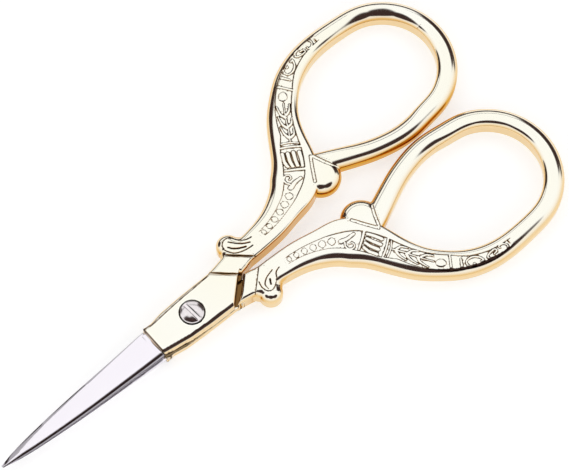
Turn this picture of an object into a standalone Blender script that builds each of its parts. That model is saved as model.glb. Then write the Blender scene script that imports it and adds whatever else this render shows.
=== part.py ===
"""Small embroidery scissors, closed: two ground steel blades, two gilt cast handles, a slotted pivot screw.

Sizes are in millimetres and become metres when a mesh is made.
The origin lies on the pivot axis, in the plane that the closed pair rests on.
+Y runs from the pivot to the tips, +Z out of the front half, and the front handle lies at +X.
The two halves are one shape: the back half is the front half turned over about the Y axis.
"""

import math

import bmesh
import bpy
from mathutils import Vector

MM = 0.001

# The pair
STACK = 4.0  # thickness of both halves together at the pivot
LAP_GAP = 0.3  # between the halves where they cross
TOUCH_GAP = 0.4  # between the two bows when closed

# Blade
BLADE_LENGTH = 43.1  # pivot axis to tip
SHOULDER_Y = 8.6  # pivot axis to the end of the boss
SHOULDER_GAP = 0.3  # between the boss and the heel of the blade
SPINE_THICKNESS = 1.35
TIP_THICKNESS = 0.55
BEVEL_WIDTH = 0.6  # width of the honed bevel near the tip
BEVEL_AT_HEEL = 0.35  # of that width
BEVEL_HEIGHT = 0.62  # of the thickness, where the bevel ends
HONED_EDGE = 0.08  # what is left of the thickness at the cutting edge
SPINE_CHAMFER = 0.25
TIP_WIDTH = 0.45
TIP_OFFSET = 0.1  # the tip lies this much towards the spine
# Share of the way from heel to tip, then the cutting edge's and the spine's distance from the middle line
BLADE_PROFILE = [
    (0.0, 3.35, 2.45),
    (0.2, 2.9, 2.35),
    (0.5, 2.3, 1.98),
    (0.76, 1.55, 1.35),
    (0.92, 0.82, 0.75),
]
BLADE_STEPS = 3  # between one row and the next

# Boss, with a pocket under it that holds the blade's tang
SKIN = 0.9  # cast metal left over the tang
POCKET_WALL = 0.7  # cast metal left beside the tang
SEAT_GAP = 0.2  # between the tang and its pocket
TANG_OVERLAP = 1.5  # how far the tang runs on into the blade
BOSS_EDGE_SIDE = [(3.3, 6.9), (3.75, 4.4), (3.95, 0.0), (4.0, -4.0)]
BOSS_SPINE_SIDE = [(-2.25, SHOULDER_Y), (-3.1, 3.1), (-3.45, -1.7)]
BOSS_EDGE_X = 4.0
BOSS_SPINE_X = 3.5
BOSS_CORNER_STEP = 0.1  # the corner beside the blade stands out this much
BOSS_BEVEL = 0.25

# Lap shoulder: both handles reach full thickness behind a line on each side of a V
LAP_TIP_Y = -11.15  # where the two lines of the V meet on the middle line
LAP_ANGLE = 47.0  # degrees from the X axis
LAP_CLEARANCE = 0.3  # between the boss of one half and the shoulder of the other
NECK_GAP = 0.6  # between the two necks when closed

# Neck between the boss and the curl, crossed by two pairs of cut lines
NECK_OUTER = [(4.4, -9.2), (4.75, -10.9), (5.2, -12.5), (4.9, -15.5)]
NECK_INNER = [(0.8, -13.2), (1.3, -15.5)]
NECK_OVERLAP = 1.0  # how far the boss runs on into the neck
BAND_SPACING = 3.5  # from one pair of cut lines to the next
BAND_WIDTH = 0.55  # between the two lines of a pair
BAND_LINE_WIDTH = 0.22
BAND_LINE_DEPTH = 0.18
BAND_ENDS = (-2.0, 9.0)  # along a line, from the middle line

# Curl beside the neck
CURL_CENTRE = (5.9, -13.3)
CURL_RADIUS = 2.2
CURL_FILLET = 2.0
CURL_SIDE_X = 5.7  # where the fillet reaches the side of the shank
CURL_OVERLAP = 2.2  # how far the curl runs on into the shank
CURL_THICKNESS = 3.9
CURL_BEVEL = 0.55
CURL_TOP = 100.0  # degrees, where the curl runs into the neck
CURL_ROOT = (4.4, -10.2)

# Shank and bow: the middle line of the stock and its section
STOCK_THICKNESS = 3.92
BOW_HALF_WIDTH = 1.97
SIDE_ROUND = 1.65  # rounding of the stock's outer side
LEAST_FLAT = 0.35  # half of the flat that the rounded sides leave on a narrow stock
RIM_WIDTH = 0.45  # raised rim on each side of the sunk panel
PANEL_SLOPE = 0.3  # width of the slope from a rim down to the panel
PANEL_DEPTH = 0.22
BOW_RADIUS = 11.8  # far end of the bow, to the middle of its stock
BOW_CENTRE_Y = -57.8
RING_SPACING = 1.8  # along the stock
CORNER_STEPS = 4
# Shank stations: x, y, half width, panel (1 sunk, 0 flat), rounding of the inner side
SHANK = [
    (2.9, -12.6, 2.1, 0.0, 0.5),
    (3.15, -16.0, 2.35, 0.0, 0.5),
    (3.55, -19.5, 2.6, 1.0, 0.5),
    (4.1, -22.45, 2.9, 1.0, 0.5),
    (5.4, -26.05, 3.43, 1.0, 0.5),
    (7.2, -29.9, 4.45, 1.0, 0.5),
]
# Arms of the bow in bow radii from the centre of the far end: x, y, half width, panel, rounding
OUTER_ARM = [
    (-0.322, 2.115, 4.08, 1.0, 0.6),
    (0.026, 1.943, 3.45, 1.0, 0.8),
    (0.353, 1.754, 3.0, 1.0, 0.9),
    (0.592, 1.53, 2.7, 1.0, 1.0),
    (0.795, 1.257, 2.5, 1.0, 1.1),
    (0.935, 0.95, 2.3, 1.0, 1.3),
    (1.012, 0.642, 2.12, 0.8, 1.5),
    (1.025, 0.32, 2.0, 0.0, 1.6),
]
INNER_ARM = [
    (-1.04, 0.322, 1.95, 0.0, 1.6),
    (-1.024, 0.63, 1.93, 0.0, 1.6),
    (-0.93, 1.027, 1.97, 0.0, 1.5),
    (-0.803, 1.339, 2.05, 0.0, 1.4),
    (-0.695, 1.593, 2.1, 0.0, 1.3),
    (-0.535, 1.95, 2.1, 0.0, 1.2),
]
FAR_END_STEPS = 12

# Spur between the shank and the inner arm, at the pointed end of the finger hole
SPUR_CENTRE = (5.6, -34.9)
SPUR_RADIUS = 3.5
SPUR_FROM = 124.0  # degrees, where the lobe leaves the shank
SPUR_TO = 239.0  # degrees, where it meets the inner arm
SPUR_POINT = (9.3, -36.3)
SPUR_THICKNESS = 3.8
SPUR_BEVEL = 0.5

# Pivot screw
SCREW_RADIUS = 1.35
SCREW_RUNNING_GAP = 0.08  # between the screw and the hole that it turns in
HEAD_RADIUS = 2.4
HEAD_SIDE = 0.35
HEAD_DOME = 0.6
HEAD_SINK = 0.2  # depth of the spot face in the boss
HEAD_GAP = 0.12  # round and under the head
SLOT_WIDTH = 0.75
SLOT_DEPTH = 0.45
SLOT_TURN = 4.0  # degrees from the X axis
ROUND_SIDES = 32
TAIL_CHAMFER = 0.15

MIDDLE = STACK / 2
LAP_FACE = MIDDLE + LAP_GAP / 2  # the front half's face towards the back half
TANG_THICKNESS = STACK - SKIN - SEAT_GAP - LAP_FACE
HEEL_Y = SHOULDER_Y + SHOULDER_GAP
CUT_OVERRUN = 1.0  # how far a cutter runs past what it cuts


def clear_scene():
    for obj in list(bpy.data.objects):
        bpy.data.objects.remove(obj)


def metal(name, colour, roughness):
    material = bpy.data.materials.new(name)
    material.use_nodes = True
    shader = material.node_tree.nodes["Principled BSDF"]
    shader.inputs["Base Color"].default_value = (*colour, 1.0)
    shader.inputs["Metallic"].default_value = 1.0
    shader.inputs["Roughness"].default_value = roughness
    material.diffuse_color = (*colour, 1.0)
    return material


def arc(centre, radius, start, end, steps):
    """Points on a circle from the start angle to the end angle, in degrees."""
    points = []
    for i in range(steps + 1):
        angle = math.radians(start + (end - start) * i / steps)
        points.append((centre[0] + radius * math.cos(angle), centre[1] + radius * math.sin(angle)))
    return points


def smooth(stations, steps):
    """Catmull-Rom curve through the stations, with this many steps between neighbours."""
    ends = [stations[0], *stations, stations[-1]]
    curve = []
    for before, start, end, after in zip(ends, ends[1:], ends[2:], ends[3:]):
        for i in range(steps):
            t = i / steps
            curve.append(tuple(
                0.5 * (2 * b + (c - a) * t + (2 * a - 5 * b + 4 * c - d) * t**2 + (3 * b - a - 3 * c + d) * t**3)
                for a, b, c, d in zip(before, start, end, after)
            ))
    return curve + [tuple(stations[-1])]


def even(curve, spacing):
    """The same curve with points about this far apart along it."""
    lengths = [0.0]
    for start, end in zip(curve, curve[1:]):
        lengths.append(lengths[-1] + math.dist(start[:2], end[:2]))
    count = max(2, round(lengths[-1] / spacing))
    points = []
    k = 0
    for i in range(count + 1):
        target = lengths[-1] * i / count
        while k < len(curve) - 2 and lengths[k + 1] < target:
            k += 1
        share = (target - lengths[k]) / (lengths[k + 1] - lengths[k])
        points.append(tuple(a + (b - a) * share for a, b in zip(curve[k], curve[k + 1])))
    return points


def inset(outline, distance):
    """A counterclockwise outline drawn in by a distance, corner by corner."""
    moved = []
    for before, here, after in zip(outline[-1:] + outline[:-1], outline, outline[1:] + outline[:1]):
        come = Vector((here[0] - before[0], here[1] - before[1])).normalized()
        go = Vector((after[0] - here[0], after[1] - here[1])).normalized()
        inward = Vector((-come.y - go.y, come.x + go.x)) / (1 + come.dot(go))
        moved.append((here[0] + inward.x * distance, here[1] + inward.y * distance))
    return moved


def mesh_object(name, rings, material=None, parent=None, rounded=False):
    """A closed loft through rings of equally many points, in millimetres."""
    bm = bmesh.new()
    rows = [[bm.verts.new(Vector(point) * MM) for point in ring] for ring in rings]
    for low, high in zip(rows, rows[1:]):
        for i in range(len(low)):
            j = (i + 1) % len(low)
            bm.faces.new((low[i], low[j], high[j], high[i]))
    bm.faces.new(rows[0][::-1])
    bm.faces.new(rows[-1])
    bmesh.ops.recalc_face_normals(bm, faces=bm.faces)
    mesh = bpy.data.meshes.new(name)
    bm.to_mesh(mesh)
    bm.free()
    if rounded:
        mesh.shade_smooth()
        mesh.set_sharp_from_angle(angle=math.radians(50))
    obj = bpy.data.objects.new(name, mesh)
    bpy.context.scene.collection.objects.link(obj)
    if material:
        mesh.materials.append(material)
    obj.parent = parent
    return obj


def plate(outline, low, high, low_bevel=0.0, high_bevel=0.0):
    """Rings of an outline raised from low to high, with its lower and upper edges rounded off."""
    rings = []
    for angle in (90, 45) if low_bevel else ():
        drawn_in = low_bevel * (1 - math.cos(math.radians(angle)))
        rings.append((drawn_in, low + low_bevel * (1 - math.sin(math.radians(angle)))))
    rings.append((0.0, low + low_bevel))
    rings.append((0.0, high - high_bevel))
    for angle in (45, 90) if high_bevel else ():
        drawn_in = high_bevel * (1 - math.cos(math.radians(angle)))
        rings.append((drawn_in, high - high_bevel * (1 - math.sin(math.radians(angle)))))
    return [[(x, y, z) for x, y in inset(outline, drawn_in)] for drawn_in, z in rings]


def turned(profile):
    """Rings of a turned shape about the pivot axis from (radius, height) pairs."""
    return [[(x, y, z) for x, y in arc((0, 0), radius, 0, 360, ROUND_SIDES)[:-1]] for radius, z in profile]


def change(obj, helper, operation):
    """Adds a helper solid to an object, or cuts it out. The helper itself isn't part of the pair."""
    helper.hide_render = True
    helper.display_type = "WIRE"
    modifier = obj.modifiers.new(helper.name, "BOOLEAN")
    modifier.operation = operation
    modifier.solver = "EXACT"
    modifier.use_self = True
    modifier.object = helper


def lap_line(side_x, clearance=0.0):
    """The y of the lap shoulder at a distance from the middle line."""
    slope = math.tan(math.radians(LAP_ANGLE))
    return LAP_TIP_Y + slope * abs(side_x) + clearance / math.cos(math.radians(LAP_ANGLE))


def boss_outline(tip_y):
    """The boss seen from the front, counterclockwise from its corner on the cutting edge's side."""
    spine_side = [(BOSS_SPINE_SIDE[0][0], tip_y), *BOSS_SPINE_SIDE[1:]]
    spine_side.append((-BOSS_SPINE_X, lap_line(BOSS_SPINE_X, LAP_CLEARANCE)))
    edge_side = [(BOSS_EDGE_X, lap_line(BOSS_EDGE_X)), *BOSS_EDGE_SIDE[::-1]]
    tip = (0.0, lap_line(0.0, LAP_CLEARANCE))
    corner = (BOSS_EDGE_SIDE[0][0] + BOSS_CORNER_STEP, tip_y)
    return [corner, *spine_side, tip, *edge_side]


def blade_rings():
    """Sections of the front blade from heel to tip: flat inside, ground down to a honed bevel."""
    tip = (1.0, TIP_WIDTH / 2 - TIP_OFFSET, TIP_WIDTH / 2 + TIP_OFFSET)
    rings = []
    for share, edge_x, spine_x in smooth(BLADE_PROFILE + [tip], BLADE_STEPS):
        y = HEEL_Y + (BLADE_LENGTH - HEEL_Y) * share
        spine = SPINE_THICKNESS + (TIP_THICKNESS - SPINE_THICKNESS) * share
        width = edge_x + spine_x
        bevel = min(BEVEL_WIDTH * (BEVEL_AT_HEEL + (1 - BEVEL_AT_HEEL) * share), width / 2)
        chamfer = min(SPINE_CHAMFER, width / 4)
        section = [
            (-spine_x, 0.0),
            (edge_x, 0.0),
            (edge_x, HONED_EDGE),
            (edge_x - bevel, BEVEL_HEIGHT * spine),
            (chamfer - spine_x, spine),
            (-spine_x, spine - chamfer),
        ]
        rings.append([(x, y, LAP_FACE + z) for x, z in section])
    return rings


def round_hole(name, radius, low, high, parent):
    return mesh_object(name, turned([(radius, low), (radius, high)]), parent=parent)


def build_blade(name, half, material, hole_gap):
    """A blade with its heel, and a thin tang behind the heel that lies in the boss."""
    blade = mesh_object(name, blade_rings(), material, half)
    tang_outline = inset(boss_outline(HEEL_Y + TANG_OVERLAP), POCKET_WALL + SEAT_GAP)
    tang = mesh_object(name + "_tang", plate(tang_outline, LAP_FACE, LAP_FACE + TANG_THICKNESS), parent=half)
    change(blade, tang, "UNION")
    hole = round_hole(name + "_hole", SCREW_RADIUS + hole_gap, 0, STACK, half)
    change(blade, hole, "DIFFERENCE")
    return blade


def neck_outline():
    """The neck at full thickness, from the lap shoulder to under the curl, counterclockwise."""
    inner_x = NECK_GAP / 2
    start = (inner_x, lap_line(inner_x))
    shoulder = (BOSS_EDGE_X, lap_line(BOSS_EDGE_X))
    return [start, *NECK_INNER, *NECK_OUTER[::-1], shoulder]


def boss_plate_outline():
    """The boss, run on into the neck so that the two join."""
    outline = boss_outline(SHOULDER_Y)
    point = (0.0, lap_line(0.0, LAP_CLEARANCE))
    after_point = outline.index(point) + 1
    joined = [(NECK_GAP, point[1]), (NECK_GAP + BOSS_BEVEL, lap_line(0.0) - NECK_OVERLAP)]
    joined.append((BOSS_EDGE_X - BOSS_BEVEL, lap_line(BOSS_EDGE_X) - NECK_OVERLAP))
    return outline[:after_point] + joined + outline[after_point:]


def curl_outline():
    """The round curl and the hollow that leads from it to the shank, counterclockwise."""
    across = CURL_SIDE_X + CURL_FILLET - CURL_CENTRE[0]
    drop = math.sqrt((CURL_RADIUS + CURL_FILLET) ** 2 - across**2)
    meet = math.degrees(math.atan2(-drop, across))
    hollow_centre = (CURL_SIDE_X + CURL_FILLET, CURL_CENTRE[1] - drop)
    hollow = arc(hollow_centre, CURL_FILLET, 180, 180 + meet, 5)
    lobe = arc(CURL_CENTRE, CURL_RADIUS, meet, CURL_TOP, 10)[1:]
    inner_x = CURL_SIDE_X - CURL_OVERLAP
    return [(inner_x, hollow_centre[1]), *hollow, *lobe, CURL_ROOT, (inner_x, CURL_ROOT[1] - CURL_BEVEL)]


def spur_outline():
    """The lobe of the spur and its wedge up to the pointed end of the finger hole, counterclockwise."""
    return [SPUR_POINT, *arc(SPUR_CENTRE, SPUR_RADIUS, SPUR_FROM, SPUR_TO, 9)]


def stock_path():
    """Stations of the stock from the neck round the bow to the spur."""
    inner_reach = -min(station[0] for station in INNER_ARM) * BOW_RADIUS
    centre_x = TOUCH_GAP / 2 + BOW_HALF_WIDTH + inner_reach

    def from_centre(stations):
        return [(centre_x + BOW_RADIUS * x, BOW_CENTRE_Y + BOW_RADIUS * y, *rest) for x, y, *rest in stations]

    far_end = arc((centre_x, BOW_CENTRE_Y), BOW_RADIUS, 0, -180, FAR_END_STEPS)
    far_end = [(x, y, BOW_HALF_WIDTH, 0.0, SIDE_ROUND) for x, y in far_end]
    return SHANK + from_centre(OUTER_ARM) + far_end + from_centre(INNER_ARM)


def stock_section(half_width, panel, inner_round):
    """One section of the stock, counterclockwise, as (across, height) pairs about its middle."""
    rise = STOCK_THICKNESS / 2
    outer = min(SIDE_ROUND, half_width - LEAST_FLAT)
    inner = min(inner_round, half_width - LEAST_FLAT)
    outer_flat = half_width - outer
    inner_flat = inner - half_width
    rim = min(RIM_WIDTH, (outer_flat - inner_flat) / 5)
    slope = min(PANEL_SLOPE, rim)
    sunk = PANEL_DEPTH * min(1.0, max(0.0, panel))
    upper = [(outer_flat + x, rise - outer + y) for x, y in arc((0, 0), outer, 0, 90, CORNER_STEPS)]
    upper += [(outer_flat - rim, rise), (outer_flat - rim - slope, rise - sunk)]
    upper += [(inner_flat + rim + slope, rise - sunk), (inner_flat + rim, rise)]
    upper += [(inner_flat + x, rise - inner + y) for x, y in arc((0, 0), inner, 90, 180, CORNER_STEPS)]
    return upper + [(x, -z) for x, z in upper[::-1]]


def stock_rings():
    """Sections of the shank and bow, set square to their middle line."""
    path = even(smooth(stock_path(), 4), RING_SPACING)
    rings = []
    for i, (x, y, *section_sizes) in enumerate(path):
        before = path[max(0, i - 1)]
        after = path[min(len(path) - 1, i + 1)]
        along = Vector((after[0] - before[0], after[1] - before[1])).normalized()
        section = stock_section(*section_sizes)
        rings.append([(x - along.y * across, y + along.x * across, MIDDLE + z) for across, z in section])
    return rings


def band_line(name, distance, under, half):
    """A narrow cut across the neck's upper or under face, parallel to the lap shoulder and this far behind it."""
    angle = math.radians(LAP_ANGLE)
    along = Vector((math.cos(angle), math.sin(angle)))
    back = Vector((along.y, -along.x))
    middle = Vector((0.0, LAP_TIP_Y)) + back * distance
    start, end = [middle + along * reach for reach in BAND_ENDS]
    corners = [tuple(c) for c in (start, start + back * BAND_LINE_WIDTH, end + back * BAND_LINE_WIDTH, end)]
    low, high = (-CUT_OVERRUN, BAND_LINE_DEPTH) if under else (STACK - BAND_LINE_DEPTH, STACK + CUT_OVERRUN)
    return mesh_object(name, plate(corners, low, high), parent=half)


def build_handle(name, half, material, spot_face):
    """A cast handle: boss over the tang, neck, curl, shank, spur and bow."""
    boss_rings = plate(boss_plate_outline(), LAP_FACE, STACK, high_bevel=BOSS_BEVEL)
    handle = mesh_object(name, boss_rings, material, half)
    neck_rings = plate(neck_outline(), 0, STACK, BOSS_BEVEL, BOSS_BEVEL)
    change(handle, mesh_object(name + "_neck", neck_rings, parent=half), "UNION")
    change(handle, mesh_object(name + "_stock", stock_rings(), parent=half, rounded=True), "UNION")
    low = MIDDLE - CURL_THICKNESS / 2
    curl_rings = plate(curl_outline(), low, low + CURL_THICKNESS, CURL_BEVEL, CURL_BEVEL)
    change(handle, mesh_object(name + "_curl", curl_rings, parent=half), "UNION")
    low = MIDDLE - SPUR_THICKNESS / 2
    spur_rings = plate(spur_outline(), low, low + SPUR_THICKNESS, SPUR_BEVEL, SPUR_BEVEL)
    change(handle, mesh_object(name + "_spur", spur_rings, parent=half), "UNION")
    pocket_outline = inset(boss_outline(SHOULDER_Y + 2 * CUT_OVERRUN), POCKET_WALL)
    pocket_rings = plate(pocket_outline, LAP_FACE - CUT_OVERRUN, STACK - SKIN)
    change(handle, mesh_object(name + "_pocket", pocket_rings, parent=half), "DIFFERENCE")
    for pair, under in ((0, False), (1, False), (1, True)):
        for line in range(2):
            distance = pair * BAND_SPACING + line * BAND_WIDTH
            face = "under" if under else "top"
            change(handle, band_line(f"{name}_{face}_line_{pair}_{line}", distance, under, half), "DIFFERENCE")
    hole = round_hole(name + "_hole", SCREW_RADIUS + SCREW_RUNNING_GAP, 0, STACK + CUT_OVERRUN, half)
    change(handle, hole, "DIFFERENCE")
    if spot_face:
        low = STACK - HEAD_SINK
        face = round_hole(name + "_spot_face", HEAD_RADIUS + HEAD_GAP, low, STACK + CUT_OVERRUN, half)
        change(handle, face, "DIFFERENCE")
    return handle


def build_screw(name, material):
    """The slotted screw: domed head on the front boss, tail flush with the back boss."""
    seat = STACK - HEAD_SINK + HEAD_GAP
    rim = seat + HEAD_SIDE
    profile = [(SCREW_RADIUS - TAIL_CHAMFER, 0), (SCREW_RADIUS, TAIL_CHAMFER), (SCREW_RADIUS, seat)]
    profile += [(HEAD_RADIUS, seat), (HEAD_RADIUS, rim)]
    dome_radius = (HEAD_RADIUS**2 + HEAD_DOME**2) / (2 * HEAD_DOME)
    for share in (0.9, 0.75, 0.55, 0.3, 0.08):
        radius = HEAD_RADIUS * share
        height = math.sqrt(dome_radius**2 - radius**2) - dome_radius + HEAD_DOME
        profile.append((radius, rim + height))
    screw = mesh_object(name, turned(profile), material, rounded=True)
    turn = math.radians(SLOT_TURN)
    along = Vector((math.cos(turn), math.sin(turn))) * (HEAD_RADIUS + CUT_OVERRUN)
    across = Vector((-math.sin(turn), math.cos(turn))) * SLOT_WIDTH / 2
    corners = [tuple(c) for c in (-along - across, along - across, along + across, across - along)]
    slot_rings = plate(corners, rim + HEAD_DOME - SLOT_DEPTH, rim + HEAD_DOME + CUT_OVERRUN)
    change(screw, mesh_object(name + "_slot", slot_rings), "DIFFERENCE")
    return screw


def half_frame(name, turned_over):
    """An empty on the pivot axis that carries one half."""
    frame = bpy.data.objects.new(name, None)
    bpy.context.scene.collection.objects.link(frame)
    if turned_over:
        frame.location = (0, 0, STACK * MM)
        frame.rotation_euler = (0, math.pi, 0)
    return frame


def main():
    clear_scene()
    steel = metal("ground_stainless_steel", (0.72, 0.71, 0.74), 0.28)
    gilt = metal("gilt_cast_metal", (0.93, 0.80, 0.55), 0.2)
    nickel = metal("nickel_plated_steel", (0.75, 0.74, 0.73), 0.25)
    front = half_frame("front_half", False)
    back = half_frame("back_half", True)
    build_blade("front_blade", front, steel, SCREW_RUNNING_GAP)
    build_handle("front_handle", front, gilt, True)
    build_blade("back_blade", back, steel, SCREW_RUNNING_GAP)
    build_handle("back_handle", back, gilt, False)
    build_screw("pivot_screw", nickel)
    bpy.context.view_layer.update()


main()
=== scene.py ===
"""Looks of small gilt embroidery scissors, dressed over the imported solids.

Plan sizes are in millimetres and become metres when a mesh is made.
Each half is drawn as the front half. The back half is the same shape turned over about the Y axis.
"""

import math

import bmesh
import bpy
import numpy as np
from mathutils import Matrix, Vector


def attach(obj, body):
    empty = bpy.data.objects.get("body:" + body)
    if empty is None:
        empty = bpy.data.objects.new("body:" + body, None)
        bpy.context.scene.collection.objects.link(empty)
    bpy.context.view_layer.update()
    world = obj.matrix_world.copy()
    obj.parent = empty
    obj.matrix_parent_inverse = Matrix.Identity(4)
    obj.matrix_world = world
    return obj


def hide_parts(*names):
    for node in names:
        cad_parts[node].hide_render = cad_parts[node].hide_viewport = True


MM = 0.001

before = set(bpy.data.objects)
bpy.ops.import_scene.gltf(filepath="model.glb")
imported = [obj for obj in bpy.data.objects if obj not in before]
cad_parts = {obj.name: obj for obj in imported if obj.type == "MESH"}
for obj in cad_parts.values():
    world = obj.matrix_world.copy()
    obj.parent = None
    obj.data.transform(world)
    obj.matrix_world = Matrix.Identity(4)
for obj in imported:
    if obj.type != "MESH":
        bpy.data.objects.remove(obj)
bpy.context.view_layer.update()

# Both halves at the pivot
STACK = 4.0
MIDDLE = STACK / 2
LAP_FACE = MIDDLE + 0.08
SHOULDER_Y = 8.6
SHOULDER_CHAMFER = 0.2
PAST_SHOULDER = 2.0  # how far the boss's sides are drawn on past the shoulder, which cuts them
HEEL_Y = SHOULDER_Y + 0.12
BORE_RADIUS = 1.43
SLANT = 0.7  # brings the depth field of a 45 degree plane back to about a distance

# Stock of the handle: x, y, half width, rounding of the inner side
SHANK = [
    (2.9, -12.6, 2.1, 0.5),
    (3.15, -16.0, 2.35, 0.5),
    (3.55, -19.5, 2.6, 0.5),
    (4.1, -22.45, 2.9, 0.5),
    (5.4, -26.05, 3.43, 0.5),
    (7.2, -29.9, 4.45, 0.5),
]
# The arms in bow radii from the centre of the far end
OUTER_ARM = [
    (-0.322, 2.115, 4.08, 0.6),
    (0.026, 1.943, 3.45, 0.8),
    (0.353, 1.754, 3.0, 0.9),
    (0.592, 1.53, 2.7, 1.0),
    (0.805, 1.265, 2.55, 1.1),
    (0.945, 0.955, 2.35, 1.2),
    (1.012, 0.642, 2.14, 1.1),
    (1.022, 0.32, 2.0, 1.0),
]
INNER_ARM = [
    (-1.04, 0.322, 1.95, 1.6),
    (-1.024, 0.63, 1.93, 1.65),
    (-0.93, 1.027, 1.97, 1.6),
    (-0.803, 1.339, 2.05, 1.4),
    (-0.695, 1.593, 2.1, 1.1),
    (-0.535, 1.95, 2.1, 1.0),
]
BOW_RADIUS = 11.8
BOW_HALF_WIDTH = 1.93
BOW_CENTRE = (14.442, -57.8)
STOCK_RISE = 1.96  # from the middle plane to the face
SIDE_REACH = 1.9  # of the outer rounding, across the stock
SIDE_DROP = 1.6  # of the outer rounding, down from the face
SIDE_START = 17.0  # degrees round its ellipse where a rounding leaves the face, in a faint crease
# Where the inner side of the bow is rounded widest: start, full, full, end, along the stock
WIDE_ROUND_RUN = (50.0, 61.0, 63.0, 74.0)
WIDE_ROUND_REACH = 3.2
WIDE_ROUND_DROP = 1.8
SIDE_GROWS = (3.0, 15.0)  # where along the stock the outer rounding goes from half its size to all of it
INNER_DROP_MOST = 1.45
# Least half width that each rounding leaves flat
OUTER_FLAT = 0.35
INNER_FLAT = 0.15
SAMPLE = 0.1  # between points along the stock
FAIR = 18  # points that the stock's line is faired over
OVERLAP = 20  # points by which each run goes past the far end

# Curl, spur, boss and neck in plan
CURL_CENTRE = (5.9, -13.3)
CURL_RADIUS = 2.2
CURL_FILLET = 2.0
CURL_SIDE_X = 5.7
CURL_HIDDEN_X = 2.4
CURL_ROOT = (4.4, -10.2)
CURL_ROUND = 1.25
CURL_ROUND_RUN = (0.05, 0.4)  # shares of the curl's side where the stock's rounding turns to the curl's
CURL_RISE = 1.95
SPUR_CENTRE = (5.6, -34.9)
SPUR_RADIUS = 3.85
SPUR_TURN = (121, 262)  # degrees
SPUR_POINT = (9.3, -36.3)
SPUR_RISE = 1.92
SPUR_ROUND = 1.7
BOSS_EDGE_SIDE = [(3.3, 6.9), (3.75, 4.4), (3.95, 0.0), (4.0, -4.0)]
BOSS_EDGE_TIP_X = 3.4
# The boss runs on inside the neck: x and how far past the lap line, then its last point
BOSS_IN_NECK = [(1.3, 2.4), (3.7, 2.6)]
BOSS_ROOT = (4.2, -8.0)
SPOT_RADIUS = 2.37
SPOT_Z = 3.75
BOSS_SPINE_SIDE = [(-2.75, SHOULDER_Y), (-3.6, 3.1), (-3.9, -1.7), (-3.95, -6.0)]
BOSS_ROUND = 0.75
# The spine side is ground in two narrow facets and then rounded off: width and tilt of each
SPINE_FACETS = [(0.3, math.radians(8)), (0.4, math.radians(23))]
SPINE_ROUND = 0.35
SPINE_START = 28.0  # degrees round its ellipse where this rounding leaves the last facet
LAP_TIP_Y = -11.15
LAP_SLOPE = math.radians(47)
LAP_CLEARANCE = 0.3
NECK_OUTER = [(4.4, -9.2), (4.75, -10.9), (5.2, -12.5), (4.9, -15.5)]
NECK_INNER = [(0.4, -13.2), (1.1, -15.5)]
NECK_GAP = 0.15
# How far behind the lap line the neck's end stands, along x
NECK_END = [(0.12, 0.5), (2.6, 0.54), (3.5, 0.36), (4.1, 0.25)]
# A low shelf in the crotch, where the two necks meet over the lap. It closes the gap there and is painted
# as shade.
CROTCH_SHELF = [(0.4, -11.3), (0.0, -11.45), (-0.5, -11.06), (-0.5, -10.3), (0.4, -10.3)]
CROTCH_SHELF_TOP = 2.75
NECK_ROUND = 0.65
POCKET_WALL = 0.7
POCKET_END = 1.7  # how far the pocket stops short of the lap end
SKIN = 0.9
LAP_ROUND = (0.5, 0.6)  # across and down
CURL_FUSE, NECK_FUSE, SPUR_FUSE = 0.3, 0.2, 0.25  # fillets where these join the stock

# Ornament: how far along the stock, then the sunk panel's two sides across it
PANEL_SIDES = [
    (4.6, 0.7, -0.6),
    (6.0, 0.75, -0.8),
    (9.0, 0.75, -1.03),
    (12.0, 0.85, -1.33),
    (14.5, 1.1, -1.55),
    (17.0, 1.7, -1.6),
    (20.0, 2.15, -2.0),
    (24.5, 2.2, -2.1),
    (28.0, 1.2, -1.95),
    (33.0, 1.55, -1.75),
    (37.3, 1.75, -1.55),
    (41.0, 1.65, -0.95),
    (45.0, 1.5, -0.65),
    (48.4, 1.1, -0.6),
]
PANEL_DEPTH = 0.15
PANEL_SLOPE = 0.2
PANEL_START = 3.0  # over which the panel goes down from the face beside the curl
PANEL_FADE = 1.6  # over which the panel comes up to the face at its far end
PANEL_SHALLOW = (14.0, 17.0)  # where along the stock the panel goes from half its depth to all of it
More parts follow.
